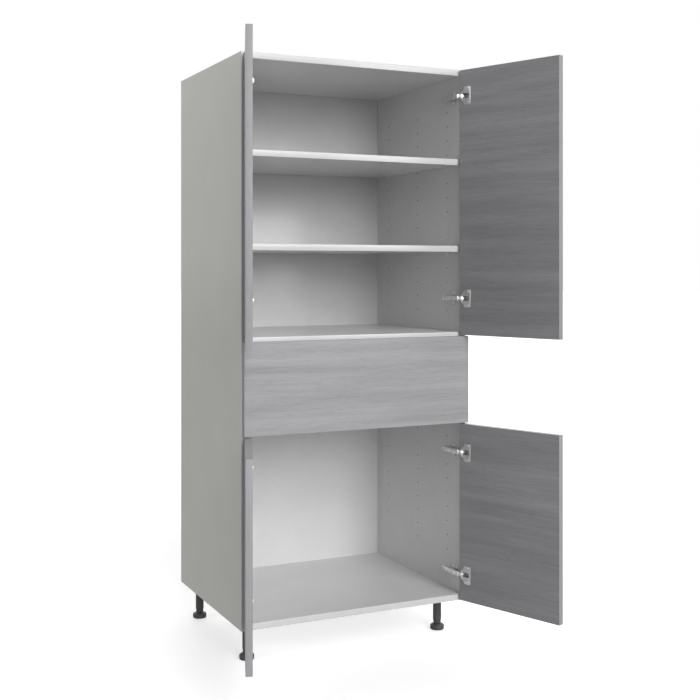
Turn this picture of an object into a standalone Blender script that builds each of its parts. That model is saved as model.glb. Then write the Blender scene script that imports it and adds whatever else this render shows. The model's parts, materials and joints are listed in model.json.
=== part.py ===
"""A tall pantry cabinet: a frameless carcass on levelling legs, with four slab doors on concealed
cup hinges, a drawer in a steel box, a fixed deck above it and two adjustable shelves.
Metres, +Z up. The doors stand open at the hinges' stop and the drawer is shut."""

import math

import bmesh
import bpy
from mathutils import Matrix, Vector

# Driving dimensions
GAP = 0.0003
BOARD = 0.01905
WIDTH = 0.762
DEPTH = 0.59055
HEIGHT = 1.69545
LEG_HEIGHT = 0.1143
BACK_THICKNESS = 0.0095
EDGE_EASE = 0.0005
FRONT_EASE = 0.001

# Heights above the underside of the carcass
DECK_TOP = 0.858
SHELF_TOPS = (1.133, 1.410)
SHELF_SET_BACK = 0.0015
SHELF_DEPTH = 0.572
SHELF_SIDE_GAP = 0.0009

# Fronts, which lap over the whole carcass
REVEAL = 0.0015
FRONT_GAP = 0.002
DOOR_WIDTH = 0.3775
LOWER_DOOR = (0.003, 0.566)
DRAWER_FRONT = (0.5695, 0.845)
UPPER_DOOR = (0.849, 1.693)

# Concealed hinges. A place in the door is (u, w): u in from the hinge edge, w in from the inner face.
# A place in plan is (x, y) from the inner front edge of the right-hand side panel, and the arm's
# edges and spans are measured from there too.
OPEN_ANGLE = math.radians(110)
OPEN_CORNER = Vector((-0.00795, -0.008))
UPPER_HINGES = (0.9655, 1.610)
LOWER_HINGES = (0.086, 0.475)
CUP_CENTRE = 0.0225
CUP_RADIUS = 0.0172
CUP_WALL = 0.0009
CUP_DEPTH = 0.0135
CUP_SIDES = 16
CUP_RIM = 0.0195
FLANGE = 0.0009
FLANGE_WIDTH = 0.042
FLANGE_WING = (0.024, 0.014, 0.0285)
OUTER_CUP_PIVOT = (0.0099, 0.003)
INNER_CUP_PIVOT = (0.0116, 0.0085)
OUTER_REACH = 0.0195
INNER_REACH = 0.0205
OUTER_ELBOW = Vector((-0.00845, -0.0173))
INNER_ELBOW = Vector((-0.00745, -0.0156))
LINK_HALF_WIDTH = 0.005
WIDE_HALF_WIDTH = 0.0065
WIDE_FROM = 0.012
LINK_SLOT = 0.0031
INNER_LINK_HALF_WIDTH = 0.0028
STRAP_HALF = 0.0009
STRAP_LAP = 0.0001
EYE_RADIUS = 0.0022
EYE_BORE = 0.0015
EYE_SIDES = 12
LINK_REACH = 0.01
SLOT_START = 0.0034
PIN_RADIUS = 0.0012
CUP_PIN = 0.0062
CHEEK_INNER = 0.0053
CHEEK_OUTER = 0.0068
WEB_INNER = -0.0167
WEB_OUTER = -0.018
ARM_END = 0.083
CHEEK_EDGE = -0.008
NOSE_RADIUS = 0.0028
NOSE_ANGLES = (0.0, 0.79, 1.57, 2.36)
HEEL_MARGIN = 0.0012
PLATE_THICKNESS = 0.0025
PLATE_SPAN = (0.012, 0.080)
PLATE_HALF = 0.008
WING_SPAN = (0.016, 0.034)
WING_HALF = 0.0215
RISER_SPAN = (0.030, 0.072)
RISER_HALF = 0.0056

# Drawer box and its rails. BOX_WALL, BOX_STEP and BOX_TONGUE are how far in from the side panel they stand.
DRAWER_LENGTH = 0.5
BOX_WALL = 0.027
BOX_STEP = 0.0136
BOX_TONGUE = 0.0027
BOX_FLANGE = 0.040
DRAWER_SIDE_BOTTOM = 0.598
DRAWER_SIDE_TOP = 0.746
DRAWER_BOARD = 0.016
SHEET = 0.001
RAIL_SHEET = 0.0015
RAIL_BOTTOM = 0.609
RAIL_HEIGHT = 0.046
RAIL_START = 0.003
RAIL_LIP = 0.012
RAIL_SLACK = 0.0004

# Legs
LEG_X = 0.330
LEG_Y = (0.093, 0.545)
LEG_SIDES = 20
SOCKET_RADIUS = 0.030
SOCKET_BOTTOM = 0.104
NECK_RADIUS = 0.018
NECK_BOTTOM = 0.100
TUBE_RADIUS = 0.0133
TUBE_SPAN = (0.031, 0.094)
TUBE_MOUTH_RADIUS = 0.012
TUBE_MOUTH = (0.020, 0.028)
FOOT_RADIUS = 0.0225
FOOT_RIM = (0.0025, 0.013)
FOOT_SOLE_RADIUS = 0.021
FOOT_SHOULDER = (0.0195, 0.0165)
FOOT_COLLAR = (0.0135, 0.0190)
STEM_RADIUS = 0.0055
STEM_TOP = 0.060
BORE_TOP = 0.064

HALF_INNER = WIDTH / 2 - BOARD
SIDES = (("left", -1), ("right", 1))

for old in list(bpy.data.objects):
    bpy.data.objects.remove(old)

parts = bpy.data.collections.new("pantry_cabinet")
cutters = bpy.data.collections.new("cutters")
bpy.context.scene.collection.children.link(parts)
bpy.context.scene.collection.children.link(cutters)


def material(name, colour, roughness, metallic=0.0):
    made = bpy.data.materials.new(name)
    made.use_nodes = True
    shader = made.node_tree.nodes["Principled BSDF"]
    shader.inputs["Base Color"].default_value = (*colour, 1.0)
    shader.inputs["Roughness"].default_value = roughness
    shader.inputs["Metallic"].default_value = metallic
    return made


MELAMINE = material("carcass_melamine", (0.62, 0.62, 0.60), 0.45)
LAMINATE = material("front_laminate", (0.30, 0.30, 0.32), 0.5)
NICKEL = material("hinge_nickel", (0.70, 0.69, 0.67), 0.25, 1.0)
STEEL = material("drawer_steel", (0.62, 0.63, 0.65), 0.35, 0.9)
PLASTIC = material("leg_plastic", (0.035, 0.035, 0.037), 0.5)


def empty(name, parent, location=(0, 0, 0), turn=0.0):
    made = bpy.data.objects.new(name, None)
    parts.objects.link(made)
    made.empty_display_size = 0.02
    made.parent = parent
    made.location = location
    made.rotation_euler.z = turn
    return made


def place(name, mesh, finish, parent, location=(0, 0, 0)):
    """One named piece under its parent."""
    made = bpy.data.objects.new(name, mesh)
    parts.objects.link(made)
    made.parent = parent
    made.location = location
    if not mesh.materials:
        mesh.materials.append(finish)
    return made


def mesh_of(shape, name):
    made = bpy.data.meshes.new(name)
    bmesh.ops.recalc_face_normals(shape, faces=shape.faces)
    shape.to_mesh(made)
    shape.free()
    return made


def block(low, high):
    """A box between two corners, as a mesh."""
    low = Vector(low)
    high = Vector(high)
    shape = bmesh.new()
    bmesh.ops.create_cube(shape, size=1.0)
    bmesh.ops.scale(shape, vec=high - low, verts=shape.verts)
    bmesh.ops.translate(shape, vec=(low + high) / 2, verts=shape.verts)
    return mesh_of(shape, "block")


def rod(centre, radius, low, high, sides=8):
    """A round bar along Z between two heights, as a mesh."""
    shape = bmesh.new()
    bmesh.ops.create_cone(shape, cap_ends=True, segments=sides, radius1=radius, radius2=radius,
                          depth=high - low)
    bmesh.ops.translate(shape, vec=(centre[0], centre[1], (low + high) / 2), verts=shape.verts)
    return mesh_of(shape, "rod")


def strap(points, half):
    """The outline of a strip of even thickness that follows points, with mitred bends."""
    points = [Vector(p) for p in points]
    left = []
    right = []
    for i, p in enumerate(points):
        before = (p - points[i - 1]).normalized() if i else None
        after = (points[i + 1] - p).normalized() if i + 1 < len(points) else None
        along = ((before or after) + (after or before)).normalized()
        across = Vector((-along.y, along.x))
        reach = half / max(0.3, along.dot(after or before))
        left.append(p + across * reach)
        right.append(p - across * reach)
    return left + right[::-1]


def plate(outline, low, high):
    """A flat outline given thickness along Z between two heights, as a mesh."""
    curve = bpy.data.curves.new("outline", "CURVE")
    curve.dimensions = "2D"
    curve.fill_mode = "BOTH"
    curve.extrude = (high - low) / 2
    spline = curve.splines.new("POLY")
    spline.points.add(len(outline) - 1)
    for point, place_on in zip(spline.points, outline):
        point.co = (place_on[0], place_on[1], 0.0, 1.0)
    spline.use_cyclic_u = True
    holder = bpy.data.objects.new("outline", curve)
    parts.objects.link(holder)
    bpy.context.view_layer.update()
    made = bpy.data.meshes.new_from_object(holder.evaluated_get(bpy.context.evaluated_depsgraph_get()))
    bpy.data.objects.remove(holder)
    shape = bmesh.new()
    shape.from_mesh(made)
    bmesh.ops.remove_doubles(shape, verts=shape.verts, dist=0.00001)
    bmesh.ops.translate(shape, vec=(0, 0, (low + high) / 2), verts=shape.verts)
    return mesh_of(shape, "plate")


def turned(profile, sides):
    """A round piece about Z from a half profile that ends by running down its outer side."""
    made = bpy.data.meshes.new("turned")
    made.from_pydata([(r, 0.0, z) for r, z in profile], [(i, i + 1) for i in range(len(profile) - 1)], [])
    holder = bpy.data.objects.new("turned", made)
    parts.objects.link(holder)
    screw = holder.modifiers.new("turn", "SCREW")
    screw.steps = sides
    screw.render_steps = sides
    screw.use_merge_vertices = True
    screw.merge_threshold = 0.00001
    return baked(holder)


def baked(holder):
    """The evaluated mesh of an object, which is then removed."""
    bpy.context.view_layer.update()
    made = bpy.data.meshes.new_from_object(holder.evaluated_get(bpy.context.evaluated_depsgraph_get()))
    bpy.data.objects.remove(holder)
    return made


def combined(first, others, operation):
    """A mesh joined with, or cut by, a list of others."""
    holder = bpy.data.objects.new("work", first)
    parts.objects.link(holder)
    tools = []
    for other in others:
        tool = bpy.data.objects.new("tool", other)
        cutters.objects.link(tool)
        tools.append(tool)
        boolean = holder.modifiers.new("join", "BOOLEAN")
        boolean.operation = operation
        boolean.object = tool
    made = baked(holder)
    for tool in tools:
        bpy.data.objects.remove(tool)
    return made


def moved(mesh, matrix):
    """A copy of a mesh put through a matrix, turned right side out again if it mirrors."""
    made = mesh.copy()
    made.transform(matrix)
    if matrix.determinant() < 0:
        made.flip_normals()
    return made


def smooth(mesh, angle=math.radians(35)):
    mesh.shade_smooth()
    mesh.set_sharp_from_angle(angle=angle)
    return mesh


def ease(piece, width, segments):
    bevel = piece.modifiers.new("eased_edges", "BEVEL")
    bevel.width = width
    bevel.segments = segments
    return piece


# The hinge in plan, for a right-hand door
CLOSED_CORNER = Vector((BOARD - REVEAL, -FRONT_GAP))


def shut_place(u, w):
    """Where a place in the door lies with the door shut."""
    return CLOSED_CORNER + Vector((-u, -w))


def open_place(u, w):
    """Where a place in the door lies with the door open."""
    return OPEN_CORNER + Matrix.Rotation(OPEN_ANGLE, 2) @ Vector((-u, -w))


def arm_pivot(cup_pivot, reach):
    """The pivot on the arm that is equally far from the cup pivot's open and shut places."""
    shut = shut_place(*cup_pivot)
    opened = open_place(*cup_pivot)
    across = (opened - shut).normalized()
    inward = Vector((across.y, -across.x))
    return (shut + opened) / 2 + inward * reach


OUTER_ARM_PIVOT = arm_pivot(OUTER_CUP_PIVOT, OUTER_REACH)
INNER_ARM_PIVOT = arm_pivot(INNER_CUP_PIVOT, INNER_REACH)


def hinge_arm():
    """Mounting plate on the side panel, riser, arm with two cheeks, and the two arm pins."""
    tip = INNER_ARM_PIVOT
    heel = OUTER_ARM_PIVOT
    heel_edge = heel.x + EYE_RADIUS + HEEL_MARGIN
    outline = [(WEB_OUTER, ARM_END), (CHEEK_EDGE, ARM_END), (CHEEK_EDGE, PLATE_SPAN[0])]
    outline += [(heel_edge, heel.y)]
    outline += [tip + NOSE_RADIUS * Vector((math.cos(a), -math.sin(a))) for a in NOSE_ANGLES]
    outline += [(WEB_OUTER, tip.y)]
    cheeks = [plate(outline, low, low + CHEEK_OUTER - CHEEK_INNER) for low in (CHEEK_INNER, -CHEEK_OUTER)]
    web = block((WEB_OUTER, tip.y, -CHEEK_OUTER), (WEB_INNER, ARM_END, CHEEK_OUTER))
    riser = block((WEB_INNER - GAP, RISER_SPAN[0], -RISER_HALF),
                  (GAP - PLATE_THICKNESS, RISER_SPAN[1], RISER_HALF))
    base = block((-PLATE_THICKNESS, PLATE_SPAN[0], -PLATE_HALF), (-GAP, PLATE_SPAN[1], PLATE_HALF))
    wings = block((-PLATE_THICKNESS, WING_SPAN[0], -WING_HALF), (-GAP, WING_SPAN[1], WING_HALF))
    pins = [rod(p, PIN_RADIUS, -CHEEK_OUTER - GAP, CHEEK_OUTER + GAP) for p in (heel, tip)]
    return combined(web, [*cheeks, riser, base, wings, *pins], "UNION")


def hinge_cup():
    """The cup, seen with the door shut: local origin at the hinge edge of the door's inner face."""
    inner = CUP_RADIUS - CUP_WALL
    floor = CUP_WALL - CUP_DEPTH
    profile = [(0.0, floor), (inner, floor), (inner, FLANGE), (CUP_RIM, FLANGE), (CUP_RIM, GAP),
               (CUP_RADIUS, GAP), (CUP_RADIUS, -CUP_DEPTH), (0.0, -CUP_DEPTH)]
    shell = turned(profile, CUP_SIDES)
    centre = Matrix.Translation((-CUP_CENTRE, 0, 0)) @ Matrix.Rotation(-math.pi / 2, 4, "X")
    shell.transform(centre)
    near, inside, outside = FLANGE_WING
    wings = [block((-FLANGE_WIDTH, GAP, low), (-near, FLANGE, low + outside - inside))
             for low in (inside, -outside)]
    pivot = (-OUTER_CUP_PIVOT[0], -OUTER_CUP_PIVOT[1])
    pins = [rod(pivot, PIN_RADIUS, low, low + CUP_PIN) for low in (LINK_SLOT, -LINK_SLOT - CUP_PIN)]
    return combined(shell, [*wings, *pins], "UNION")


def link(arm_end, elbow, cup_end, half_widths, slot_start):
    """A bent strap with an eye at each end, wider from WIDE_FROM on. Its origin is its arm pivot."""
    narrow, wide = half_widths
    run = strap([arm_end, elbow, cup_end], STRAP_HALF)
    body = plate(run, -narrow, narrow)
    onward = arm_end + (elbow - arm_end).normalized() * WIDE_FROM
    extras = [rod(arm_end, EYE_RADIUS, -LINK_HALF_WIDTH, LINK_HALF_WIDTH, EYE_SIDES),
              rod(cup_end, EYE_RADIUS, -wide, wide, EYE_SIDES)]
    if wide > narrow:
        outline = strap([onward, elbow, cup_end], STRAP_HALF + STRAP_LAP)
        extras.append(plate(outline, -wide, wide))
    joined = combined(body, extras, "UNION")
    cuts = [rod(p, EYE_BORE, -LINK_REACH, LINK_REACH) for p in (arm_end, cup_end)]
    if slot_start:
        far = 4 * LINK_REACH
        cuts.append(block((-far, -far, -LINK_SLOT), (LINK_REACH, arm_end.y - slot_start, LINK_SLOT)))
    cut = combined(joined, cuts, "DIFFERENCE")
    cut.transform(Matrix.Translation((-arm_end.x, -arm_end.y, 0)))
    return cut


ARM = smooth(hinge_arm())
CUP = smooth(hinge_cup())
OUTER_LINK = smooth(link(OUTER_ARM_PIVOT, OUTER_ELBOW, open_place(*OUTER_CUP_PIVOT),
                         (LINK_HALF_WIDTH, WIDE_HALF_WIDTH), SLOT_START))
INNER_LINK = smooth(link(INNER_ARM_PIVOT, INNER_ELBOW, open_place(*INNER_CUP_PIVOT),
                         (INNER_LINK_HALF_WIDTH, INNER_LINK_HALF_WIDTH), 0.0))
MIRROR = Matrix.Scale(-1, 4, (1, 0, 0))
HANDED = {side: {name: mesh if sign > 0 else moved(mesh, MIRROR)
                 for name, mesh in (("arm", ARM), ("cup", CUP),
                                    ("outer_link", OUTER_LINK), ("inner_link", INNER_LINK))}
          for side, sign in SIDES}


def door(level, side, sign, span, hinge_heights, carcass):
    """A door with its hinges. Its empty stands on the outer cup pivot, turned to the open angle."""
    name = level + "_" + side
    panel_edge = Vector((HALF_INNER, 0.0))
    swing_at = panel_edge + open_place(*OUTER_CUP_PIVOT)
    swing = empty(name + "_door_swing", carcass, (sign * swing_at.x, swing_at.y, 0), sign * OPEN_ANGLE)
    corner = Vector((sign * OUTER_CUP_PIVOT[0], OUTER_CUP_PIVOT[1], 0))
    xs = sorted((corner.x, corner.x - sign * DOOR_WIDTH))
    leaf = block((xs[0], corner.y - BOARD, span[0]), (xs[1], corner.y, span[1]))
    leaf_piece = ease(place(name + "_door", leaf, LAMINATE, swing), FRONT_EASE, 2)
    turned_cutter = Matrix.Rotation(-math.pi / 2, 4, "X")
    for number, height in enumerate(hinge_heights, 1):
        tag = name + "_hinge_" + str(number)
        meshes = HANDED[side]
        outer = panel_edge + OUTER_ARM_PIVOT
        inner = panel_edge + INNER_ARM_PIVOT
        place(tag + "_arm", meshes["arm"], NICKEL, carcass, (sign * HALF_INNER, 0, height))
        place(tag + "_outer_link", meshes["outer_link"], NICKEL, carcass, (sign * outer.x, outer.y, height))
        place(tag + "_inner_link", meshes["inner_link"], NICKEL, carcass, (sign * inner.x, inner.y, height))
        place(tag + "_cup", meshes["cup"], NICKEL, swing, (corner.x, corner.y, height))
        bore = rod((0, 0), CUP_RADIUS + GAP, -CUP_DEPTH - GAP, CUP_DEPTH, CUP_SIDES)
        bore.transform(turned_cutter)
        cutter = bpy.data.objects.new(tag + "_bore", bore)
        cutters.objects.link(cutter)
        cutter.parent = swing
        cutter.location = (corner.x - sign * CUP_CENTRE, corner.y, height)
        cutter.hide_render = True
        cutter.display_type = "WIRE"
        boolean = leaf_piece.modifiers.new("bore", "BOOLEAN")
        boolean.operation = "DIFFERENCE"
        boolean.object = cutter


def board(name, low, high, carcass):
    return ease(place(name, block(low, high), MELAMINE, carcass), EDGE_EASE, 1)


def carcass_boards(carcass):
    inner = HALF_INNER - GAP
    back = DEPTH - BACK_THICKNESS
    for side, sign in SIDES:
        xs = sorted((sign * HALF_INNER, sign * WIDTH / 2))
        board(side + "_side_panel", (xs[0], 0, 0), (xs[1], DEPTH, HEIGHT), carcass)
    board("bottom_panel", (-inner, 0, 0), (inner, DEPTH, BOARD), carcass)
    board("top_panel", (-inner, 0, HEIGHT - BOARD), (inner, DEPTH, HEIGHT), carcass)
    board("back_panel", (-inner, back, BOARD + GAP), (inner, DEPTH, HEIGHT - BOARD - GAP), carcass)
    board("drawer_deck", (-inner, 0, DECK_TOP - BOARD), (inner, back - GAP, DECK_TOP), carcass)
    half = HALF_INNER - SHELF_SIDE_GAP
    for name, top in zip(("lower_shelf", "upper_shelf"), SHELF_TOPS):
        shelf_end = SHELF_SET_BACK + SHELF_DEPTH
        board(name, (-half, SHELF_SET_BACK, top - BOARD), (half, shelf_end, top), carcass)


def along_depth(outline, start, end):
    """A section in (x, z) run from front to back."""
    made = plate([(x, z) for x, z in outline], -end, -start)
    made.transform(Matrix.Rotation(math.pi / 2, 4, "X"))
    return made


def drawer(carcass):
    rail_top = RAIL_BOTTOM + RAIL_HEIGHT
    middle = RAIL_SHEET / 2
    slack = RAIL_SHEET + SHEET / 2 + RAIL_SLACK
    tongue_top = rail_top - slack
    tongue_bottom = RAIL_BOTTOM + slack
    box = empty("drawer_slide", carcass)
    front_end = -FRONT_GAP + GAP
    for side, sign in SIDES:
        edge = sign * HALF_INNER
        rail_points = [(RAIL_LIP, RAIL_BOTTOM + middle), (GAP + middle, RAIL_BOTTOM + middle),
                       (GAP + middle, rail_top - middle), (RAIL_LIP, rail_top - middle)]
        side_points = [(BOX_FLANGE, DRAWER_SIDE_BOTTOM), (BOX_WALL, DRAWER_SIDE_BOTTOM),
                       (BOX_WALL, DRAWER_SIDE_TOP), (BOX_STEP, DRAWER_SIDE_TOP), (BOX_STEP, tongue_top),
                       (BOX_TONGUE, tongue_top), (BOX_TONGUE, tongue_bottom), (BOX_STEP, tongue_bottom)]
        rail_outline = strap([(edge - sign * x, z) for x, z in rail_points], RAIL_SHEET / 2)
        side_outline = strap([(edge - sign * x, z) for x, z in side_points], SHEET / 2)
        rail = along_depth(rail_outline, RAIL_START, RAIL_START + DRAWER_LENGTH)
        wall_mesh = along_depth(side_outline, front_end, front_end + DRAWER_LENGTH)
        place(side + "_drawer_rail", rail, STEEL, carcass)
        place("drawer_" + side + "_side", wall_mesh, STEEL, box)
    half = HALF_INNER - BOX_WALL - SHEET / 2 - GAP
    floor = DRAWER_SIDE_BOTTOM + SHEET / 2 + GAP
    box_end = front_end + DRAWER_LENGTH
    bottom = block((-half, front_end, floor), (half, box_end, floor + DRAWER_BOARD))
    back_start = (-half, box_end - DRAWER_BOARD, floor + DRAWER_BOARD + GAP)
    back = block(back_start, (half, box_end, DRAWER_SIDE_TOP))
    ease(place("drawer_bottom", bottom, MELAMINE, box), EDGE_EASE, 1)
    ease(place("drawer_back", back, MELAMINE, box), EDGE_EASE, 1)
    reach = WIDTH / 2 - REVEAL
    front = block((-reach, -FRONT_GAP - BOARD, DRAWER_FRONT[0]), (reach, -FRONT_GAP, DRAWER_FRONT[1]))
    ease(place("drawer_front", front, LAMINATE, box), FRONT_EASE, 2)


def leg_meshes():
    """A leg hanging from its top, and the levelling foot that screws into it, from the floor up."""
    top = LEG_HEIGHT - GAP
    bore = STEM_RADIUS + GAP
    tube_bottom, tube_top = TUBE_SPAN
    mouth_bottom, mouth_top = TUBE_MOUTH
    leg = [(0.0, BORE_TOP), (bore, BORE_TOP), (bore, mouth_bottom), (TUBE_MOUTH_RADIUS, mouth_bottom),
           (TUBE_MOUTH_RADIUS, mouth_top), (TUBE_RADIUS, tube_bottom), (TUBE_RADIUS, tube_top),
           (NECK_RADIUS, NECK_BOTTOM), (SOCKET_RADIUS, SOCKET_BOTTOM), (SOCKET_RADIUS, top), (0.0, top)]
    foot = [(0.0, STEM_TOP), (STEM_RADIUS, STEM_TOP), (STEM_RADIUS, FOOT_COLLAR[1]), FOOT_COLLAR,
            FOOT_SHOULDER, (FOOT_RADIUS, FOOT_RIM[1]), (FOOT_RADIUS, FOOT_RIM[0]),
            (FOOT_SOLE_RADIUS, 0.0), (0.0, 0.0)]
    return smooth(turned(leg[::-1], LEG_SIDES)), smooth(turned(foot, LEG_SIDES))


def legs(cabinet):
    leg, foot = leg_meshes()
    for side, sign in SIDES:
        for row, y in zip(("front", "rear"), LEG_Y):
            place(row + "_" + side + "_leg", leg, PLASTIC, cabinet, (sign * LEG_X, y, 0))
            place(row + "_" + side + "_foot", foot, PLASTIC, cabinet, (sign * LEG_X, y, 0))


def build():
    """The frame's origin is on the floor, below the middle of the space that the open cabinet fills."""
    door_reach = -(open_place(DOOR_WIDTH, 0.0).y)
    cabinet = empty("cabinet", None, (0, -(DEPTH - door_reach) / 2, 0))
    carcass = empty("carcass", cabinet, (0, 0, LEG_HEIGHT))
    carcass_boards(carcass)
    for side, sign in SIDES:
        door("upper", side, sign, UPPER_DOOR, UPPER_HINGES, carcass)
        door("lower", side, sign, LOWER_DOOR, LOWER_HINGES, carcass)
    drawer(carcass)
    legs(cabinet)


build()
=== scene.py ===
"""The looks of a tall pantry cabinet: grey wood-grain fronts on pale melamine boards, bright hinges,
steel drawer sides and black levelling legs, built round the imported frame."""

import json
import math

import bmesh
import bpy
from mathutils import Matrix, Vector

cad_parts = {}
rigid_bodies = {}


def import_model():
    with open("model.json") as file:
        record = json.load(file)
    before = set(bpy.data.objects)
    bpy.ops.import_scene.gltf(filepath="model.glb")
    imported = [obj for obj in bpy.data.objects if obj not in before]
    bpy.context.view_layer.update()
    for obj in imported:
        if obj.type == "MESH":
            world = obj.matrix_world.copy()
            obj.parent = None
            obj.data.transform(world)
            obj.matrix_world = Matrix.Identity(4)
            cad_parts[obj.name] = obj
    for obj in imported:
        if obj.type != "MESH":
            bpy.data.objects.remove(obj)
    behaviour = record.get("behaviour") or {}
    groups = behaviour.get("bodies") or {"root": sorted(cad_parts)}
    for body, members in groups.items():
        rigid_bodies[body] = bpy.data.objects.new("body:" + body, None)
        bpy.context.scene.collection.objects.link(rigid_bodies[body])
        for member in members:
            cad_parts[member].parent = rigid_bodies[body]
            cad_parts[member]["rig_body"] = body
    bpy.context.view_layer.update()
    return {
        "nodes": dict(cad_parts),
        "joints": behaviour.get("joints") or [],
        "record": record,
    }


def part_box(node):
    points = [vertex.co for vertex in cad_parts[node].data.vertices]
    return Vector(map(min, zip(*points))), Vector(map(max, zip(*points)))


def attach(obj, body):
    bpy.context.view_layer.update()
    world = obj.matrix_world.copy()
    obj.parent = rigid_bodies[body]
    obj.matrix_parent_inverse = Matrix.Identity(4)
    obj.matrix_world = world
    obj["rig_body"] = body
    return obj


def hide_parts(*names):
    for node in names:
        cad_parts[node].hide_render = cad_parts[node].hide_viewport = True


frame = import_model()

# Sizes that the frame's boxes don't give directly, in metres
SIDES = (("left", -1), ("right", 1))
BAND = 0.001
DOOR_WIDTH = 0.3775
OPEN_ANGLE = math.radians(70)
CUP_PIVOT = Vector((0.0099, 0.003, 0.0))
CUP_CENTRE = 0.0225
CUP_BORE_RADIUS = 0.0175
CUP_BORE_DEPTH = 0.0138
ARM_HEEL = Vector((-0.012029, 0.001843))
ARM_TIP = Vector((-0.014347, -0.006404))

# Studio light. SHEEN is what the walls show in glossy surfaces, and a sun is (name, degrees round from
# the front towards the right, degrees up, degrees across, strength, whether glossy surfaces show it).
# The catch light shows only in glossy surfaces, and the strengths were fitted to the photo.
SHEEN = 0.75
CATCH = 110
CATCH_SIZE = (2.4, 2.6)
CATCH_PLACE = (2.6, -3.9, 2.5)
CATCH_AIM = (0.35, -0.12, 1.5)
FLOOR_GLOW = 0.40
FLOOR_SHEEN = 0.45
FLOOR_LIFT = 0.48
SUNS = (("low_key", 0, 5, 36, 0.53, True), ("key", 0, 20, 36, 1.54, True),
        ("high_key", 0, 45, 36, 0.62, True), ("top_light", 30, 45, 36, 0.30, True),
        ("left_light", -90, 25, 36, 0.65, False), ("back_light", 165, 25, 50, 1.3, True),
        ("right_light", 110, 35, 50, 0.7, False))

# The photo's camera, fitted to points on the photo: millimetres, metres and degrees
LENS = 58.0
SENSOR_WIDTH = 36.0
LENS_SHIFT = -0.1146
CAMERA_PLACE = (-1.520, -3.216, 1.1707)
CAMERA_TURN = -25.66

# System holes in the side panels: places from the front edge and above the underside
HOLE_RADIUS = 0.0025
HOLE_DEPTH = 0.010
HOLE_COLUMNS = (0.083, 0.280, 0.493)
HOLE_PITCH = 0.0462
LOWER_HOLES = (0.1450, 9)
UPPER_HOLES = (0.9227, 15)

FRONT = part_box("right_side_panel")[0].y
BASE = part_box("bottom_panel")[0].z
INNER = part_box("right_side_panel")[0].x
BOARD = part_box("right_side_panel")[1].x - INNER
MIRROR = Matrix.Scale(-1, 4, (1, 0, 0))
# Turns Z into X, X into Y and Y into Z
LYING = Matrix(((0, 0, 1, 0), (1, 0, 0, 0), (0, 1, 0, 0), (0, 0, 0, 1)))
# Turns Z into -Y. UPRIGHT is the same turn in whole numbers.
FACING = Matrix.Rotation(math.pi / 2, 4, "X")
UPRIGHT = Matrix(((1, 0, 0, 0), (0, 0, -1, 0), (0, 1, 0, 0), (0, 0, 0, 1)))
IN_PLACE = Matrix.Identity(4)


# ---- Meshes

# Points nearer than TOUCHING are one point, and a cut leaves no face thinner than SLIVER
TOUCHING = 0.000001
SLIVER = 0.000004
# Faces that meet at more degrees than these keep a crease, in a whole piece and in the parts of one
CREASE = 30
PART_CREASE = 35
# Sheet steel is rounded at edges sharper than HARD_ANGLE, once faces within FLAT of one plane are merged
HARD_ANGLE = math.radians(50)
FLAT = 0.002
# Half the angle of the sharpest and flattest corners that are rounded, and how much of a side that may use
SHARPEST = 0.01
FLATTEST = 1.55
SHARE = 0.49
# A face this near a board's surface belongs to the surface
SKIN = 0.0004


def mesh_of(shape):
    made = bpy.data.meshes.new("piece")
    bmesh.ops.recalc_face_normals(shape, faces=shape.faces)
    shape.to_mesh(made)
    shape.free()
    return made


def smooth(mesh, angle=PART_CREASE):
    mesh.shade_smooth()
    mesh.set_sharp_from_angle(angle=math.radians(angle))
    return mesh


def block(low, high, ease=0.0, segments=2):
    """A box between two corners, with its edges rounded by ease."""
    low = Vector(low)
    high = Vector(high)
    shape = bmesh.new()
    bmesh.ops.create_cube(shape, size=1.0)
    bmesh.ops.scale(shape, vec=high - low, verts=shape.verts)
    bmesh.ops.translate(shape, vec=(low + high) / 2, verts=shape.verts)
    if ease:
        bmesh.ops.bevel(shape, geom=list(shape.edges), offset=ease, segments=segments,
                        affect="EDGES", profile=0.5)
    return mesh_of(shape)


def corner_arc(before, corner, after, radius, steps):
    """Points that round one corner, as far as its two sides allow."""
    back = Vector(before) - Vector(corner)
    on = Vector(after) - Vector(corner)
    half = back.angle(on) / 2
    if half < SHARPEST or half > FLATTEST:
        return [Vector(corner)]
    reach = min(radius / math.tan(half), SHARE * back.length, SHARE * on.length)
    start = Vector(corner) + back.normalized() * reach
    end = Vector(corner) + on.normalized() * reach
    arc = []
    for i in range(steps + 1):
        t = i / steps
        arc.append((1 - t) ** 2 * start + 2 * t * (1 - t) * Vector(corner) + t * t * end)
    return arc


def rounded(points, radius, steps=5):
    """A closed outline with its corners rounded."""
    made = []
    for i, corner in enumerate(points):
        made += corner_arc(points[i - 1], corner, points[(i + 1) % len(points)], radius, steps)
    return made


def lathe(profile, sides=48, radius=0.0):
    """A round piece about Z from a half profile of (radius, height) places, with rounded corners."""
    places = [Vector(p) for p in profile]
    run = [places[0]]
    for before, corner, after in zip(places, places[1:], places[2:]):
        run += corner_arc(before, corner, after, radius, 4) if radius else [corner]
    run.append(places[-1])
    shape = bmesh.new()
    points = [shape.verts.new((p.x, 0, p.y)) for p in run]
    lines = [shape.edges.new(pair) for pair in zip(points, points[1:])]
    bmesh.ops.spin(shape, geom=points + lines, axis=(0, 0, 1), cent=(0, 0, 0),
                   angle=2 * math.pi, steps=sides)
    bmesh.ops.remove_doubles(shape, verts=shape.verts, dist=TOUCHING)
    return mesh_of(shape)


def rod(radius, low, high, ease=0.0, sides=32):
    return lathe([(0, low), (radius, low), (radius, high), (0, high)], sides, ease)


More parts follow.
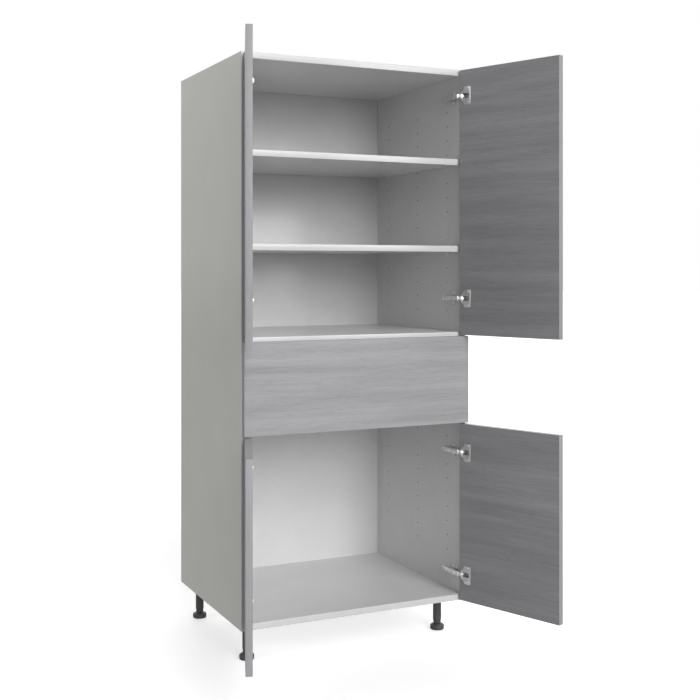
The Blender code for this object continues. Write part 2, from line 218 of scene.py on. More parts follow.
def prism(outline, low, high, ease=0.0, segments=2):
    """A flat outline given thickness along Z, with its two rims rounded by ease."""
    shape = bmesh.new()
    floor = shape.faces.new([shape.verts.new((p[0], p[1], low)) for p in outline])
    grown = bmesh.ops.extrude_face_region(shape, geom=[floor])
    top = [v for v in grown["geom"] if isinstance(v, bmesh.types.BMVert)]
    bmesh.ops.translate(shape, vec=(0, 0, high - low), verts=top)
    if ease:
        rims = [e for e in shape.edges if abs(e.verts[0].co.z - e.verts[1].co.z) < TOUCHING]
        bmesh.ops.bevel(shape, geom=rims, offset=ease, segments=segments, affect="EDGES", profile=0.5)
    return mesh_of(shape)


def joined(copies):
    """One mesh of many copies, each a (mesh, matrix) or a (mesh, matrix, finish number)."""
    shape = bmesh.new()
    for mesh, matrix, *number in copies:
        verts = len(shape.verts)
        faces = len(shape.faces)
        shape.from_mesh(mesh)
        shape.verts.ensure_lookup_table()
        shape.faces.ensure_lookup_table()
        bmesh.ops.transform(shape, matrix=matrix, verts=shape.verts[verts:])
        if number:
            for face in shape.faces[faces:]:
                face.material_index = number[0]
    return mesh_of(shape)


def cut(mesh, tools):
    """A mesh with (mesh, matrix) tools taken out of it. Tools that overlap one another remove all of it."""
    holder = bpy.data.objects.new("work", mesh)
    tool = bpy.data.objects.new("tool", joined(tools))
    for made in (holder, tool):
        bpy.context.scene.collection.objects.link(made)
    boolean = holder.modifiers.new("cut", "BOOLEAN")
    boolean.operation = "DIFFERENCE"
    boolean.object = tool
    bpy.context.view_layer.update()
    made = bpy.data.meshes.new_from_object(holder.evaluated_get(bpy.context.evaluated_depsgraph_get()))
    bpy.data.objects.remove(holder)
    bpy.data.objects.remove(tool)
    if not made.polygons:
        raise ValueError("a cut left nothing of its mesh")
    return welded(made, SLIVER)


def welded(mesh, distance):
    """The mesh with its points joined where they meet, and no face thinner than distance."""
    shape = bmesh.new()
    shape.from_mesh(mesh)
    bmesh.ops.remove_doubles(shape, verts=shape.verts, dist=distance)
    bmesh.ops.dissolve_degenerate(shape, edges=shape.edges, dist=distance)
    shape.to_mesh(mesh)
    shape.free()
    return mesh


def plus(arm, slot):
    """The outline of a cross, as far out as arm and slot to each side of its middle."""
    return [(arm, -slot), (arm, slot), (slot, slot), (slot, arm), (-slot, arm), (-slot, slot),
            (-arm, slot), (-arm, -slot), (-slot, -slot), (-slot, -arm), (slot, -arm), (slot, -slot)]


def at(x, y, z):
    return Matrix.Translation((x, y, z))


def piece(name, mesh, body, finishes, matrix=None, stands_for=()):
    """One shown piece, on its body, with its finishes and the CAD nodes that it stands for."""
    made = bpy.data.objects.new(name, mesh)
    bpy.context.scene.collection.objects.link(made)
    made.matrix_world = matrix or IN_PLACE
    if not mesh.materials:
        for finish in finishes:
            mesh.materials.append(finish)
    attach(made, body)
    if stands_for:
        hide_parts(*stands_for)
    return made


# ---- Finishes


def add(tree, kind, inputs=None, **settings):
    made = tree.nodes.new(kind)
    for key, value in settings.items():
        setattr(made, key, value)
    for key, value in (inputs or {}).items():
        if isinstance(value, bpy.types.NodeSocket):
            tree.links.new(value, made.inputs[key])
        else:
            made.inputs[key].default_value = value
    return made


def new_finish(name, roughness, metallic=0.0):
    """(material, its node tree, its shader, the object's own coordinates)."""
    made = bpy.data.materials.new(name)
    made.use_nodes = True
    tree = made.node_tree
    shader = tree.nodes["Principled BSDF"]
    shader.inputs["Roughness"].default_value = roughness
    shader.inputs["Metallic"].default_value = metallic
    place = add(tree, "ShaderNodeTexCoord").outputs["Object"]
    return made, tree, shader, place


def noise(tree, place, scale, detail=2.0, rough=0.5):
    """Noise with scale repeats per metre, one number or one for each axis."""
    spread = scale if isinstance(scale, tuple) else (scale, scale, scale)
    scaled = add(tree, "ShaderNodeMapping", {"Vector": place, "Scale": spread})
    made = add(tree, "ShaderNodeTexNoise", {"Vector": scaled.outputs[0], "Scale": 1.0,
                                            "Detail": detail, "Roughness": rough})
    return made.outputs[0]


def ramp(tree, value, stops):
    made = add(tree, "ShaderNodeValToRGB", {"Fac": value})
    while len(made.color_ramp.elements) < len(stops):
        made.color_ramp.elements.new(0.5)
    for element, (position, colour) in zip(made.color_ramp.elements, stops):
        element.position = position
        element.color = (*colour, 1.0)
    return made.outputs["Color"]


def span(tree, value, low, high):
    """A value near one half, spread to run from low to high."""
    made = add(tree, "ShaderNodeMapRange", {"Value": value, "From Min": 0.3, "From Max": 0.7,
                                            "To Min": low, "To Max": high})
    return made.outputs[0]


def mixed(tree, first, second, share):
    made = add(tree, "ShaderNodeMix", data_type="FLOAT")
    made.inputs[0].default_value = share
    tree.links.new(first, made.inputs[2])
    tree.links.new(second, made.inputs[3])
    return made.outputs[0]


def tinted(tree, colour, tint, strength):
    """A colour multiplied by another."""
    made = add(tree, "ShaderNodeMix", data_type="RGBA", blend_type="MULTIPLY")
    made.inputs[0].default_value = strength
    tree.links.new(colour, made.inputs[6])
    tree.links.new(tint, made.inputs[7])
    return made.outputs[2]


def bump(tree, height, distance, under=None):
    made = add(tree, "ShaderNodeBump", {"Height": height, "Distance": distance, "Strength": 1.0})
    if under:
        tree.links.new(under, made.inputs["Normal"])
    return made.outputs["Normal"]


def shade(colour, factor):
    return tuple(channel * factor for channel in colour)


def melamine(name, colour):
    """Pressed paper on board: faint clouding and a fine pearl texture."""
    made, tree, shader, place = new_finish(name, 0.26)
    cloud = noise(tree, place, 7.0, 4.0, 0.6)
    fleck = noise(tree, place, 900.0, 2.0)
    tone = ramp(tree, cloud, [(0.35, shade(colour, 0.975)), (0.65, shade(colour, 1.015))])
    speck = ramp(tree, fleck, [(0.30, (0.95, 0.95, 0.95)), (0.55, (1.0, 1.0, 1.0))])
    tree.links.new(tinted(tree, tone, speck, 1.0), shader.inputs["Base Color"])
    tree.links.new(span(tree, fleck, 0.21, 0.31), shader.inputs["Roughness"])
    coarse = bump(tree, noise(tree, place, 260.0, 3.0), 0.00012)
    tree.links.new(bump(tree, fleck, 0.00006, coarse), shader.inputs["Normal"])
    return made


def wood(name, along, dark, light):
    """Printed wood grain that runs along one axis, with open pores pressed into it."""
    made, tree, shader, place = new_finish(name, 0.5)

    def grain(long, fine):
        return tuple(long if axis == along else fine for axis in range(3))

    wander = noise(tree, place, grain(1.3, 5.0), 2.0)
    sway = tuple(0.0 if axis == along else 0.022 for axis in range(3))
    bent = add(tree, "ShaderNodeVectorMath", {0: wander, 1: sway, 2: place}, operation="MULTIPLY_ADD")
    place = bent.outputs[0]
    figure = noise(tree, place, grain(1.2, 24.0), 6.0, 0.62)
    fibre = noise(tree, place, grain(8.0, 380.0), 4.0, 0.6)
    pore = noise(tree, place, grain(26.0, 1300.0), 1.0)
    tone = ramp(tree, mixed(tree, figure, fibre, 0.30), [(0.33, dark), (0.67, light)])
    pit = ramp(tree, pore, [(0.60, (1.0, 1.0, 1.0)), (0.70, (0.78, 0.78, 0.78))])
    tree.links.new(tinted(tree, tone, pit, 1.0), shader.inputs["Base Color"])
    tree.links.new(span(tree, fibre, 0.44, 0.58), shader.inputs["Roughness"])
    ridges = bump(tree, fibre, 0.00010)
    tree.links.new(bump(tree, pit, 0.00008, ridges), shader.inputs["Normal"])
    return made


def chipboard(name, light):
    """The raw core of a board: pressed flakes of pale wood. A light factor below one darkens the flakes as
    painted shade.
    """
    made, tree, shader, place = new_finish(name, 0.85)
    flakes = add(tree, "ShaderNodeTexVoronoi", {"Vector": place, "Scale": 420.0, "Randomness": 1.0})
    dust = noise(tree, place, 1500.0, 3.0)
    tones = [(0.1, shade((0.30, 0.23, 0.16), light)), (0.9, shade((0.52, 0.42, 0.30), light))]
    tone = ramp(tree, flakes.outputs["Color"], tones)
    grit = ramp(tree, dust, [(0.35, (0.72, 0.72, 0.72)), (0.6, (1.0, 1.0, 1.0))])
    tree.links.new(tinted(tree, tone, grit, 1.0), shader.inputs["Base Color"])
    tree.links.new(bump(tree, dust, 0.0004), shader.inputs["Normal"])
    return made


def plated(name, colour, roughness):
    """Plated metal with a faint haze and polishing lines."""
    made, tree, shader, place = new_finish(name, roughness, 1.0)
    haze = noise(tree, place, 160.0, 3.0)
    lines = noise(tree, place, (60.0, 900.0, 5200.0), 2.0)
    tone = ramp(tree, haze, [(0.3, shade(colour, 0.93)), (0.7, colour)])
    tree.links.new(tone, shader.inputs["Base Color"])
    tree.links.new(span(tree, mixed(tree, haze, lines, 0.5), roughness * 0.8, roughness * 1.35),
                   shader.inputs["Roughness"])
    tree.links.new(bump(tree, lines, 0.000012), shader.inputs["Normal"])
    return made


def coated(name, colour, roughness, grain, depth):
    """Paint or moulded plastic with a fine texture of grain repeats per metre."""
    made, tree, shader, place = new_finish(name, roughness)
    texture = noise(tree, place, grain, 3.0, 0.55)
    cloud = noise(tree, place, 45.0, 3.0)
    tones = [(0.35, shade(colour, 0.86)), (0.65, shade(colour, 1.1))]
    tone = ramp(tree, mixed(tree, cloud, texture, 0.5), tones)
    tree.links.new(tone, shader.inputs["Base Color"])
    tree.links.new(span(tree, texture, roughness - 0.06, roughness + 0.07), shader.inputs["Roughness"])
    tree.links.new(bump(tree, texture, depth), shader.inputs["Normal"])
    return made


MELAMINE = melamine("melamine", (0.74, 0.74, 0.74))
SIDE_MELAMINE = melamine("side_melamine", (0.72, 0.727, 0.682))
EDGE_BAND = melamine("carcass_edge_band", (0.66, 0.66, 0.66))
LAMINATE = wood("front_laminate", 0, (0.270, 0.270, 0.280), (0.400, 0.400, 0.411))
# A darker copy of the laminate for the inner faces of the doors and the drawer front: painted shade.
SHADED_LAMINATE = wood("reverse_laminate_painted_shade", 0, (0.235, 0.235, 0.244), (0.350, 0.350, 0.362))
BAND_ACROSS = wood("front_band_across", 0, (0.325, 0.323, 0.339), (0.395, 0.393, 0.414))
BAND_UP = wood("front_band_up", 2, (0.325, 0.323, 0.339), (0.395, 0.393, 0.414))
CORE = chipboard("board_core", 1.0)
# The core at under a third of its brightness, for the walls of the system holes: painted shade in the holes.
PAINTED_SHADE_CORE = chipboard("drilled_core_painted_shade", 0.3)
# A darker copy of the cup's nickel for the faces deep inside each cup: painted shade in the hollow.
CUP_PAINTED_SHADE = plated("cup_inside_painted_shade", (0.42, 0.42, 0.42), 0.4)
NICKEL = plated("bright_nickel", (0.88, 0.88, 0.88), 0.29)
SATIN_NICKEL = plated("satin_nickel", (0.82, 0.82, 0.82), 0.38)
ZINC = plated("zinc", (0.55, 0.56, 0.57), 0.38)
PLATE_ZINC = plated("mounting_plate_zinc", (0.62, 0.62, 0.62), 0.34)
STEEL = coated("drawer_powder_coat", (0.46, 0.47, 0.48), 0.42, 1100.0, 0.00008)
PLASTIC = coated("leg_plastic", (0.062, 0.062, 0.063), 0.42, 1600.0, 0.00006)


# ---- Small hardware


def screw_head(radius, height):
    """A domed head with a cross recess, standing up from Z = 0."""
    dome = lathe([(0, -height), (radius * 0.8, -height), (radius, 0), (radius * 0.92, height * 0.6),
                  (radius * 0.5, height), (0, height)], 32, radius * 0.12)
    arm = radius * 0.58
    slot = radius * 0.11
    cross = prism(plus(arm, slot), 0.0, height * 2)
    socket = lathe([(0, -height * 0.4), (slot * 1.9, height * 0.4), (slot * 2.2, height * 2),
                    (0, height * 2)], 16)
    for recess in (cross, socket):
        dome = cut(dome, [(recess, at(0, 0, height * 0.15))])
    return smooth(dome, CREASE)


SMALL_SCREW = screw_head(0.0037, 0.0013)
SYSTEM_SCREW = screw_head(0.0044, 0.0016)


# ---- Boards


def banded_board(node, raw=(), outer_side=0, holes=()):
    """A board with an edge band along its front. raw names the ends whose core shows: back, top, bottom."""
    low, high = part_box(node)
    plain, banded, bare, outside, drilled = range(5)
    core = block((low.x, low.y + BAND, low.z), high, ease=0.0002, segments=1)
    if holes:
        core = cut(core, holes)
    band = block(low, (high.x, low.y + BAND, high.z), ease=0.00045, segments=3)
    mesh = joined([(core, IN_PLACE, plain), (band, IN_PLACE, banded)])
    for face in mesh.polygons:
        if face.material_index == banded:
            continue
        centre = face.center
        on_front = centre.y < low.y + BAND + SKIN
        on_side = min(centre.x - low.x, high.x - centre.x) < SKIN
        ends = {"back": centre.y > high.y - SKIN, "top": centre.z > high.z - SKIN,
                "bottom": centre.z < low.z + SKIN}
        # Faces inside the system holes take the darkened core: painted shade.
        if not (on_front or on_side or any(ends.values())):
            face.material_index = drilled
        elif any(ends[end] for end in raw):
            face.material_index = bare
        elif outer_side and outer_side * face.normal.x > 0.9:
            face.material_index = outside
    finishes = [MELAMINE, EDGE_BAND, CORE, SIDE_MELAMINE, PAINTED_SHADE_CORE]
    body = frame["nodes"][node]["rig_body"]
    return piece("board_" + node, smooth(mesh, CREASE), body, finishes, None, [node])


def system_holes(sign):
    """Cutters for the three columns of shelf holes in one side panel, below and above the drawer."""
    drill = rod(HOLE_RADIUS, -HOLE_DEPTH, HOLE_DEPTH, 0.0, 16)
    turn = Matrix.Rotation(math.pi / 2, 4, "Y")
    heights = [BASE + start + HOLE_PITCH * k
               for start, count in (LOWER_HOLES, UPPER_HOLES) for k in range(count)]
    return [(drill, at(sign * INNER, FRONT + y, z) @ turn) for y in HOLE_COLUMNS for z in heights]


def boards():
    for side, sign in SIDES:
        banded_board(side + "_side_panel", ("back", "top", "bottom"), sign, system_holes(sign))
    for node in ("top_panel", "bottom_panel"):
        banded_board(node, ("back",))
    for node in ("drawer_deck", "lower_shelf", "upper_shelf"):
        banded_board(node)


def panel(node):
    """A thin or hidden board with no edge band: eased arrises and the same melamine."""
    low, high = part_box(node)
    body = frame["nodes"][node]["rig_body"]
    mesh = smooth(block(low, high, ease=0.0004, segments=2), CREASE)
    piece("board_" + node, mesh, body, [MELAMINE], None, [node])


# ---- Fronts


def front_board(name, node, body, width, span_z, matrix, bores=()):
    """A laminated board with a band on all four edges, lying from the inner face at y = 0 to y = BOARD."""
    low_z, high_z = span_z
    outer_face, band_across, band_up, core, shaded_inner_face = range(5)
    leaf = block((BAND, 0, low_z + BAND), (width - BAND, BOARD, high_z - BAND), ease=0.0001, segments=1)
    if bores:
        drill = rod(CUP_BORE_RADIUS, -CUP_BORE_DEPTH, CUP_BORE_DEPTH, 0.0, 64)
        leaf = cut(leaf, [(drill, at(CUP_CENTRE, 0, z) @ FACING) for z in bores])
    skin = 0.0005
    for face in leaf.polygons:
        depth = face.center.y
        # The inner face takes the darker copy of the laminate: painted shade.
        if depth < skin:
            face.material_index = shaded_inner_face
        else:
            face.material_index = outer_face if depth > BOARD - skin else core
    outer = [(0, low_z), (width, low_z), (width, high_z), (0, high_z)]
    inner = [(BAND, low_z + BAND), (width - BAND, low_z + BAND), (width - BAND, high_z - BAND),
             (BAND, high_z - BAND)]
    shape = bmesh.new()
    for i in range(4):
        j = (i + 1) % 4
        corners = [outer[i], outer[j], inner[j], inner[i]]
        front = [shape.verts.new((x, 0, z)) for x, z in corners]
        back = [shape.verts.new((x, BOARD, z)) for x, z in corners]
        strip = [shape.faces.new(front), shape.faces.new(back[::-1])]
        for k in range(4):
            on = (k + 1) % 4
            strip.append(shape.faces.new((front[k], back[k], back[on], front[on])))
        for face in strip:
            face.material_index = band_up if i % 2 else band_across
    bmesh.ops.remove_doubles(shape, verts=shape.verts, dist=TOUCHING)
    doubled = [f for f in shape.faces if all(len(e.link_faces) > 2 for e in f.edges)]
    bmesh.ops.delete(shape, geom=doubled, context="FACES_ONLY")
    rims = [e for e in shape.edges if len(e.link_faces) == 2 and e.calc_face_angle(0) > 1.0
            and not all(on_inner(v.co, inner) for v in e.verts)]
    bmesh.ops.bevel(shape, geom=rims, offset=0.8 * BAND, segments=4, affect="EDGES", profile=0.5)
    mesh = joined([(leaf, IN_PLACE), (mesh_of(shape), IN_PLACE)])
    finishes = [LAMINATE, BAND_ACROSS, BAND_UP, CORE, SHADED_LAMINATE]
    return piece(name, smooth(mesh, CREASE), body, finishes, matrix, [node])


def on_inner(point, inner):
    """Whether a point lies on the inner edge of the band."""
    (low_x, low_z), _, (high_x, high_z), _ = inner
    near = 0.00001
    across = min(abs(point.x - low_x), abs(point.x - high_x)) < near
    along = min(abs(point.z - low_z), abs(point.z - high_z)) < near
    return across and along


def door_frame(level, side, sign):
    """The door's own frame: X from its hinge edge to its free edge, Y from its inner face outwards."""
    name = level + "_" + side + "_door_swing"
    pivot = Vector(next(j["pos_m"] for j in frame["joints"] if j["name"] == name))
    turn = Matrix.Rotation(-sign * OPEN_ANGLE, 4, "Z")
    if sign < 0:
        turn = turn @ MIRROR
    corner = pivot - turn @ CUP_PIVOT
    return at(corner.x, corner.y, BASE) @ turn


def hinge_heights(level, side):
    boxes = [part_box(f"{level}_{side}_hinge_{number}_cup") for number in (1, 2)]
    return [(low.z + high.z) / 2 - BASE for low, high in boxes]


def doors():
    for level in ("upper", "lower"):
        for side, sign in SIDES:
            door = level + "_" + side + "_door"
            low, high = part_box(door)
            heights = (low.z - BASE, high.z - BASE)
            front_board("front_" + level + "_" + side, door, door, DOOR_WIDTH, heights,
                        door_frame(level, side, sign), hinge_heights(level, side))
    low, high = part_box("drawer_front")
    matrix = at(high.x, high.y, BASE) @ Matrix.Rotation(math.pi, 4, "Z")
    heights = (low.z - BASE, high.z - BASE)
    front_board("front_drawer", "drawer_front", "drawer", high.x - low.x, heights, matrix)


# ---- Hinges, drawn for the right-hand side


def hinge_arm():
    """The mounting plate, its screws, and the arm with its pins.

    X = 0 is on the panel and Y = 0 at the panel's front edge."""
    neck = 0.008
    wing = 0.0215
    plate = [(0.023, -neck), (0.028, -neck), (0.028, -wing), (0.046, -wing), (0.046, -neck), (0.080, -neck),
             (0.080, neck), (0.046, neck), (0.046, wing), (0.028, wing), (0.028, neck), (0.023, neck)]
    base = prism(rounded(plate, 0.007), -0.0024, -0.0003, 0.0006, 3)
    riser = block((-0.0163, 0.030, -0.0052), (-0.0018, 0.072, 0.0052), 0.0008)
    turns = (0.0, 0.4, 0.8, 1.2, 1.57, 2.0, 2.5)
    nose = [ARM_TIP + 0.0036 * Vector((math.cos(a), -math.sin(a))) for a in turns]
    outline = [Vector((-0.018, 0.083)), Vector((-0.008, 0.083)), Vector((-0.008, 0.012)),
               ARM_HEEL + Vector((0.0034, 0)), *nose, Vector((-0.018, ARM_TIP.y + 0.001))]
    half = 0.0068
    body = prism(rounded(outline, 0.002, 4), -half, half, 0.0009, 4)
    inside = 0.0053
    hollow = block((-0.0167, ARM_TIP.y, -inside), (0.01, 0.09, inside))
    around_tip = rod(0.0025, -inside, inside, 0.0, 32)
    mouth = block((ARM_TIP.x, -0.03, -inside), (0.01, 0.010, inside))
    opening = [(-0.002, 0.046), (0.002, 0.046), (0.002, 0.056), (-0.002, 0.056)]
    slot = prism(rounded(opening, 0.002), -0.03, 0.0)
    stand = Matrix(((0, 0, 1, 0), (0, 1, 0, 0), (-1, 0, 0, 0), (0, 0, 0, 1)))
    for tool, matrix in ((hollow, IN_PLACE), (mouth, IN_PLACE), (slot, stand),
                         (around_tip, at(ARM_TIP.x, ARM_TIP.y, 0))):
        body = cut(body, [(tool, matrix)])
    arm = smooth(body, CREASE)
    outward = Matrix.Rotation(-math.pi / 2, 4, "Y")
    pin = rod(0.0012, -0.0073, 0.0073, 0.0002, 20)
    rivet = rod(0.0021, 0.0067, 0.0074, 0.0003, 24)
    parts = [(smooth(base), LYING, 1), (riser, IN_PLACE, 1), (arm, IN_PLACE, 0)]
    parts += [(SYSTEM_SCREW, at(-0.0027, 0.037, z) @ outward, 0) for z in (-0.0155, 0.0155)]
    parts += [(SMALL_SCREW, at(-0.0180, y, 0) @ outward, 1) for y in (0.024, 0.068)]
    for place in (ARM_HEEL, ARM_TIP):
        parts.append((pin, at(place.x, place.y, 0), 0))
        parts.append((rivet, at(place.x, place.y, 0), 1))
        parts.append((rivet, at(place.x, place.y, 0) @ Matrix.Scale(-1, 4, (0, 0, 1)), 1))
    return smooth(joined(parts), CREASE)


def hinge_cup():
    """The cup and its flange in the door's frame, with its middle at height 0."""
    inner = 0.0163
    shell = lathe([(0, -0.0126), (inner, -0.0126), (inner, 0.0009), (0.0195, 0.0009), (0.0195, 0.0003),
                   (0.0172, 0.0003), (0.0172, -0.0135), (0, -0.0135)], 64, 0.0012)
    half = 0.0285
    outline = [(0.0200, -half), (0.0445, -half), (0.0445, half), (0.0200, half), (0.0150, 0.0170),
               (0.0150, -0.0170)]
    flange = prism(rounded(outline, 0.0035), 0.0003, 0.0011, 0.0003, 2)
    hole = rod(inner, -0.01, 0.01, 0.0, 64)
    flange = cut(flange, [(hole, at(CUP_CENTRE, 0, 0))])
    lip = rod(0.0010, -0.0268, 0.0268, 0.0006, 16)
    pin = rod(0.0012, 0.0, 0.0062, 0.0002, 20)
    parts = [(smooth(shell), at(CUP_CENTRE, 0, 0) @ FACING, 0), (smooth(flange), UPRIGHT, 0)]
    parts += [(lip, at(0.0437, -0.0010, 0), 0)]
    parts += [(SMALL_SCREW, at(0.0345, -0.0011, z) @ FACING, 2) for z in (-0.0225, 0.0225)]
    parts += [(pin, at(CUP_PIVOT.x, CUP_PIVOT.y, z), 2) for z in (0.0031, -0.0093)]
    cover = rod(inner - 0.0002, -0.0022, -0.0006, 0.0005, 64)
    passage = block((-0.03, -0.0078, -0.01), (0.03, 0.0078, 0.01), 0.0008)
    parts.append((smooth(cut(cover, [(passage, IN_PLACE)])), at(CUP_CENTRE, 0, 0) @ FACING, 0))
    mesh = smooth(joined(parts), CREASE)
    # Faces deep inside the cup take the darker nickel: painted shade.
    for face in mesh.polygons:
        off_axis = math.hypot(face.center.x - CUP_CENTRE, face.center.z)
        if face.center.y > 0.0030 and off_axis < inner + 0.0003 and not face.material_index:
            face.material_index = 1
    return mesh


def hinges():
    arm = hinge_arm()
    cup = hinge_cup()
    flipped = joined([(arm, MIRROR)])
    arms = {"left": smooth(flipped, CREASE), "right": arm}
    for level in ("upper", "lower"):
        for side, sign in SIDES:
            door = level + "_" + side + "_door"
            for number, height in enumerate(hinge_heights(level, side), 1):
                tag = f"{level}_{side}_hinge_{number}"
                piece("shown_" + tag + "_arm", arms[side], "carcass", [NICKEL, PLATE_ZINC],
                      at(sign * INNER, FRONT, BASE + height), [tag + "_arm"])
                piece("shown_" + tag + "_cup", cup.copy(), door,
                      [SATIN_NICKEL, CUP_PAINTED_SHADE, NICKEL], door_frame(level, side, sign) @ at(0, 0, height),
                      [tag + "_cup"])


# ---- Legs


def leg_pieces():
    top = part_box("front_left_leg")[1].z
    tube = lathe([(0.0, 0.064), (0.0058, 0.064), (0.0058, 0.0200), (0.0120, 0.0200), (0.0120, 0.0275),
                  (0.0129, 0.0300), (0.0133, 0.0330), (0.0133, 0.0385), (0.0129, 0.0390), (0.0129, 0.0400),
                  (0.0133, 0.0405), (0.0133, 0.0900), (0.0145, 0.0910), (0.0145, 0.0960), (0.0180, 0.1000),
                  (0.0280, 0.1040), (0.0300, 0.1050), (0.0300, top), (0.0, top)], 72, 0.0006)
    rib = prism([(0.0130, 0.0900), (0.0145, 0.0890), (0.0270, 0.1030), (0.0270, 0.1060), (0.0130, 0.1060)],
                -0.0009, 0.0009, 0.0002, 1)
    upright = Matrix.Rotation(math.pi / 2, 4, "X")
    parts = [(smooth(tube), IN_PLACE, 0)]
    parts += [(rib, Matrix.Rotation(math.tau * (i + 0.5) / 8, 4, "Z") @ upright, 0) for i in range(8)]
    under = Matrix.Rotation(math.pi, 4, "X")
    for i in range(4):
        turn = Matrix.Rotation(math.tau * i / 4, 4, "Z")
        parts.append((SMALL_SCREW, turn @ at(0.0245, 0, 0.1037) @ under, 1))
    leg = smooth(joined(parts), CREASE)
    foot = lathe([(0.0, 0.060), (0.0050, 0.060), (0.0050, 0.0190), (0.0130, 0.0190), (0.0160, 0.0181),
                  (0.0176, 0.0160), (0.0207, 0.0150), (0.0225, 0.0128), (0.0225, 0.0040), (0.0216, 0.0),
                  (0.0190, 0.0), (0.0185, 0.0008), (0.0, 0.0008)], 96, 0.0016)
    notch = rod(0.0016, 0.0143, 0.03, 0.0, 16)
    notches = [(notch, Matrix.Rotation(math.tau * i / 12, 4, "Z") @ at(0.0183, 0, 0)) for i in range(12)]
    return leg, smooth(cut(foot, notches), CREASE)


def legs():
    leg, foot = leg_pieces()
    for row in ("front", "rear"):
        for side, _ in SIDES:
            name = row + "_" + side
            low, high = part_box(name + "_foot")
            middle = at((low.x + high.x) / 2, (low.y + high.y) / 2, 0)
            piece("shown_" + name + "_leg", leg, "carcass", [PLASTIC, ZINC], middle,
                  [name + "_leg"])
            piece("shown_" + name + "_foot", foot, name + "_foot", [PLASTIC], middle,
                  [name + "_foot"])


# ---- Fixings


def shelf_pins():
    """Four nickel angle supports under each shelf, pushed into the front and rear columns of holes."""
    below = 0.0065
    pin = rod(0.0024, -0.0085, 0.0006, 0.0004, 24)
    rest = block((-0.0055, below - 0.0013, 0.0003), (0.0055, below, 0.0125), 0.0004)
    upright = block((-0.0055, -0.0055, 0.0002), (0.0055, below, 0.0014), 0.0004)
    copies = []
    for shelf in ("lower_shelf", "upper_shelf"):
        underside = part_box(shelf)[0].z
        for side, sign in SIDES:
            inward = Matrix.Rotation(-sign * math.pi / 2, 4, "Z") @ Matrix.Rotation(math.pi / 2, 4, "X")
            for y in (HOLE_COLUMNS[0], HOLE_COLUMNS[2]):
                place = at(sign * INNER, FRONT + y, underside - below) @ inward
                copies += [(mesh, place) for mesh in (pin, rest, upright)]
    piece("shelf_supports", smooth(joined(copies), CREASE), "carcass", [NICKEL])


def cam_locks():
    """Round cams that draw the top and bottom panels against the sides, on their outer faces."""
    disc = rod(0.0075, -0.0008, 0.0004, 0.0004, 40)
    groove = prism(plus(0.0052, 0.0007), -0.0002, 0.002)
    cam = smooth(cut(disc, [(groove, IN_PLACE)]), CREASE)
    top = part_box("top_panel")[1].z
    copies = []
    for side, sign in SIDES:
        for y in (0.060, 0.290, 0.530):
            x = sign * (INNER - 0.034)
            copies.append((cam, at(x, FRONT + y, top) @ Matrix.Rotation(y * 9, 4, "Z")))
            copies.append((cam, at(x, FRONT + y, BASE) @ Matrix.Rotation(math.pi, 4, "X")))
    piece("cam_locks", smooth(joined(copies), CREASE), "carcass", [ZINC])


def back_screws():
    """Countersunk screws round the back panel and along the deck behind it."""
    low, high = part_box("back_panel")
    inward = Matrix.Rotation(-math.pi / 2, 4, "X")
    deck = (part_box("drawer_deck")[0].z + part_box("drawer_deck")[1].z) / 2
    inset = 0.012
    places = [(x, z) for x in (low.x + inset, high.x - inset) for z in spaced(low.z, high.z, 7)]
    places += [(x, z) for z in (low.z + inset, deck, high.z - inset) for x in spaced(low.x, high.x, 4)]
    copies = [(SMALL_SCREW, at(x, high.y, z) @ inward) for x, z in places]
    piece("back_screws", smooth(joined(copies), CREASE), "carcass", [ZINC])


def spaced(low, high, count):
    """Evenly spaced places between two ends, half a step in from each."""
    step = (high - low) / count
    return [low + step * (i + 0.5) for i in range(count)]


def drawer_fittings():
    """Screws through the rails, and the brackets that hold the drawer front to its steel sides."""
    low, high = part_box("right_drawer_rail")
    middle = (low.z + high.z) / 2
    face_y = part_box("drawer_front")[1].y
    bracket = prism(rounded([(0.0148, 0.668), (0.0262, 0.668), (0.0262, 0.742), (0.0148, 0.742)], 0.002),
                    0.0, 0.0014, 0.0003)
    facing_in = Matrix.Rotation(-math.pi / 2, 4, "X")
    rail_screws = []
    brackets = []
    for side, sign in SIDES:
        flip = IN_PLACE if sign < 0 else MIRROR
        inward = Matrix.Rotation(-sign * math.pi / 2, 4, "Y")
        for y in (0.037, 0.261, 0.453):
            rail_screws.append((SMALL_SCREW, at(sign * (INNER - 0.0018), FRONT + y, middle) @ inward))
        origin = flip @ at(-INNER, face_y + 0.0014, BASE)
        brackets.append((bracket, origin @ UPRIGHT, 0))
        for z in (0.684, 0.726):
            brackets.append((SMALL_SCREW, origin @ at(0.0205, 0, z) @ facing_in, 1))
    piece("rail_screws", smooth(joined(rail_screws), CREASE), "carcass", [ZINC])
    piece("drawer_front_brackets", smooth(joined(brackets), CREASE), "drawer",
          [STEEL, NICKEL])


def eased_pieces():
    """The hinge links and the drawer's sheet steel: the CAD shapes with their hard edges rounded."""
    for body, names in frame["record"]["behaviour"]["bodies"].items():
        for name in names:
            if name.endswith("_link"):
                finish, ease, slot = NICKEL, 0.00025, "hinge_nickel"
            elif name.endswith("_rail") or name in ("drawer_left_side", "drawer_right_side"):
                finish, ease, slot = STEEL, 0.00035, "drawer_steel"
            else:
                continue
            shape = bmesh.new()
            shape.from_mesh(welded(frame["nodes"][name].data.copy(), SLIVER))
            bmesh.ops.dissolve_limit(shape, angle_limit=FLAT, verts=shape.verts, edges=shape.edges)
            hard = [e for e in shape.edges if e.calc_face_angle(0.0) > HARD_ANGLE]
            bmesh.ops.bevel(shape, geom=hard, offset=ease, segments=2, affect="EDGES", profile=0.5,
                            clamp_overlap=True)
            piece("shown_" + name, smooth(mesh_of(shape), CREASE), body, [finish], None, [name])


# ---- Studio


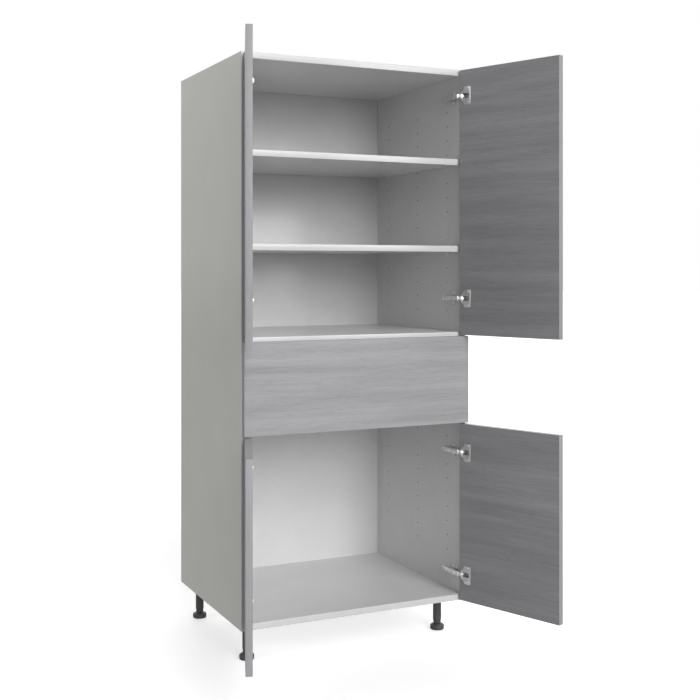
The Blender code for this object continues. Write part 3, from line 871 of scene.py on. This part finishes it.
def by_ray(tree, lit, mirrored, seen):
    """A shader with one part that lights matt surfaces, one that glossy ones show, and one for the camera."""
    path = add(tree, "ShaderNodeLightPath")
    bounced = add(tree, "ShaderNodeMixShader", {0: path.outputs["Is Glossy Ray"], 1: lit, 2: mirrored})
    made = add(tree, "ShaderNodeMixShader",
               {0: path.outputs["Is Camera Ray"], 1: bounced.outputs[0], 2: seen})
    return made.outputs[0]


def sun(name, azimuth, height, spread, strength, shines):
    """A soft light from a direction. Glossy surfaces show it only where it shines."""
    lamp = bpy.data.lights.new(name, "SUN")
    lamp.energy = strength
    lamp.angle = math.radians(spread)
    holder = bpy.data.objects.new(name, lamp)
    bpy.context.scene.collection.objects.link(holder)
    holder.visible_glossy = shines
    turn = math.radians(azimuth)
    rise = math.radians(height)
    towards = Vector((math.sin(turn) * math.cos(rise), -math.cos(turn) * math.cos(rise), math.sin(rise)))
    holder.rotation_euler = (-towards).to_track_quat("-Z", "Y").to_euler()


def studio():
    """A white room: a broad soft key from the front, softer light from the other sides, a pale floor."""
    scene = bpy.context.scene
    scene.view_settings.view_transform = "Standard"
    world = bpy.data.worlds.new("studio")
    scene.world = world
    world.use_nodes = True
    tree = world.node_tree
    walls = [add(tree, "ShaderNodeBackground", {"Color": (1, 1, 1, 1), "Strength": strength}).outputs[0]
             for strength in (0.0, SHEEN, 1.0)]
    tree.links.new(by_ray(tree, *walls), tree.nodes["World Output"].inputs["Surface"])

    floor = bpy.data.objects.new("floor", lathe([(0, -0.02), (60, -0.02), (60, 0), (0, 0)], 96))
    scene.collection.objects.link(floor)
    floor.location.z = -0.0003
    paper, tree, shader, place = new_finish("studio_floor", 0.9)
    cloud = noise(tree, place, 0.8, 3.0)
    tone = ramp(tree, cloud, [(0.3, (0.88, 0.88, 0.88)), (0.7, (0.90, 0.90, 0.90))])
    tree.links.new(tone, shader.inputs["Base Color"])
    shader.inputs["Emission Color"].default_value = (1, 1, 1, 1)
    shader.inputs["Emission Strength"].default_value = FLOOR_LIFT
    glows = [add(tree, "ShaderNodeEmission", {"Color": (1, 1, 1, 1), "Strength": strength}).outputs[0]
             for strength in (FLOOR_GLOW, FLOOR_SHEEN)]
    surface = by_ray(tree, *glows, shader.outputs[0])
    tree.links.new(surface, tree.nodes["Material Output"].inputs["Surface"])
    floor.data.materials.append(paper)

    for row in SUNS:
        sun(*row)
    catch = bpy.data.lights.new("catch_light", "AREA")
    catch.shape = "RECTANGLE"
    catch.size, catch.size_y = CATCH_SIZE
    catch.energy = CATCH
    holder = bpy.data.objects.new("catch_light", catch)
    scene.collection.objects.link(holder)
    holder.location = CATCH_PLACE
    holder.rotation_euler = (Vector(CATCH_AIM) - holder.location).to_track_quat("-Z", "Y").to_euler()
    holder.visible_camera = False
    holder.visible_diffuse = False


def camera():
    lens = bpy.data.cameras.new("camera")
    lens.lens = LENS
    lens.sensor_width = SENSOR_WIDTH
    lens.shift_y = LENS_SHIFT
    holder = bpy.data.objects.new("camera", lens)
    bpy.context.scene.collection.objects.link(holder)
    holder.location = CAMERA_PLACE
    holder.rotation_euler = (math.radians(90), 0, math.radians(CAMERA_TURN))
    bpy.context.scene.camera = holder


boards()
for hidden_board in ("back_panel", "drawer_bottom", "drawer_back"):
    panel(hidden_board)
doors()
hinges()
legs()
shelf_pins()
cam_locks()
back_screws()
drawer_fittings()
eased_pieces()
studio()
camera()
